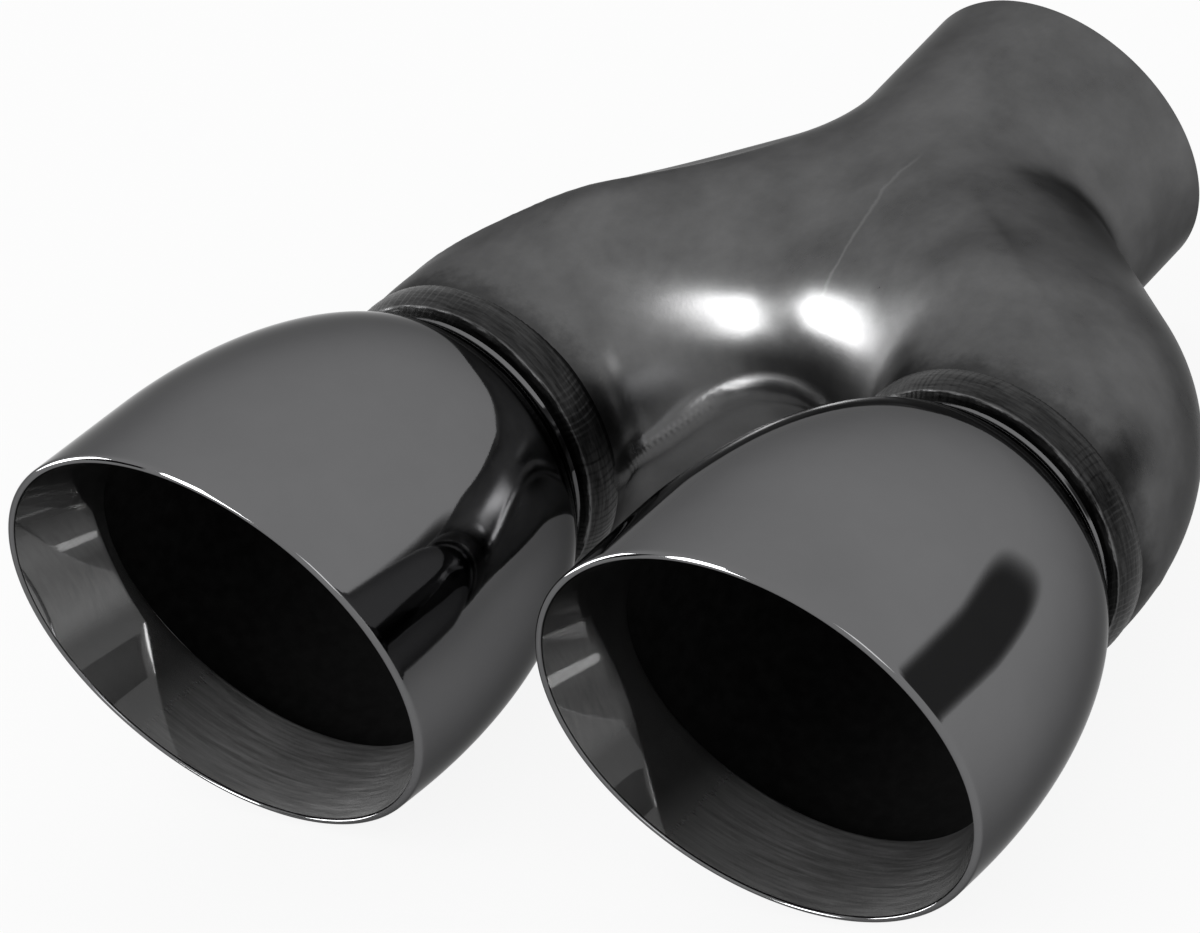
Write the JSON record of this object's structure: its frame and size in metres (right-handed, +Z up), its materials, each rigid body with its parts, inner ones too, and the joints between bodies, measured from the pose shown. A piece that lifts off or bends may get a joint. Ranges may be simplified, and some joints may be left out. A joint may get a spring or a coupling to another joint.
{
  "type": "dual outlet exhaust tip",
  "caption": "Twin exhaust tip: a Y pipe with a slip-on inlet feeds two bulged, slash-cut round barrels with turned-in lips, welded side by side.",
  "frame": {"origin": "centre of the inlet's mouth", "axes": "+Y out of the inlet along its axis, towards the car's front; the barrels open to -Y; +Z up, with the longer side of the slashed rims on top; +X to the right barrel"},
  "size_m": [0.2112, 0.1984, 0.092],
  "materials": {
    "pipe_steel": "satin, slightly mottled dark stainless steel",
    "black_chrome": "polished black chrome",
    "weld_metal": "dark heat-stained weld with fine ripples"
  },
  "bodies": {
    "root": {"y_pipe": "pipe_steel", "right_barrel": "black_chrome", "left_barrel": "black_chrome", "right_inner_lip": "black_chrome", "left_inner_lip": "black_chrome", "right_weld_bead": "weld_metal", "left_weld_bead": "weld_metal"}
  },
  "joints": []
}
